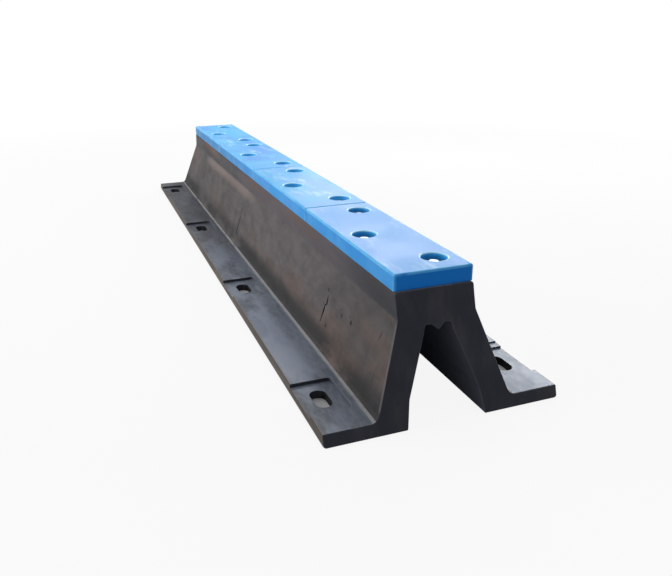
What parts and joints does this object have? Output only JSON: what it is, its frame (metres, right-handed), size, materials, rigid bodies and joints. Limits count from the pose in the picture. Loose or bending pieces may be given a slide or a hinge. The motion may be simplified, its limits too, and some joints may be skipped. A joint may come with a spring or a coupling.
{
  "type": "arch dock fender",
  "caption": "Arch-section rubber dock fender on slotted flanges, with sloped ends and counterbored plastic face pads bolted along its head.",
  "frame": {"origin": "middle of the foot, on the surface that the fender is bolted to", "axes": "+X along the fender, +Z from the foot to the face pads, -Y the front side"},
  "size_m": [2.64, 0.6, 0.338],
  "materials": {
    "moulded_rubber": "moulded, dusty and scuffed",
    "pad_plastic": "machined low-friction plastic",
    "bolt_steel": "stainless",
    "washer_steel": "stainless",
    "bonded_steel": "primed for bonding to rubber"
  },
  "bodies": {
    "root": {"fender_body": "moulded_rubber", "head_plate": "bonded_steel", "flange_plate_front": "bonded_steel", "flange_plate_rear": "bonded_steel", "face_pad_1": "pad_plastic", "pad_1_washers": "washer_steel", "pad_1_bolts": "bolt_steel", "pad_1_nuts": "bonded_steel", "face_pad_2": "pad_plastic", "pad_2_washers": "washer_steel", "pad_2_bolts": "bolt_steel", "pad_2_nuts": "bonded_steel", "face_pad_3": "pad_plastic", "pad_3_washers": "washer_steel", "pad_3_bolts": "bolt_steel", "pad_3_nuts": "bonded_steel", "face_pad_4": "pad_plastic", "pad_4_washers": "washer_steel", "pad_4_bolts": "bolt_steel", "pad_4_nuts": "bonded_steel"}
  },
  "joints": []
}
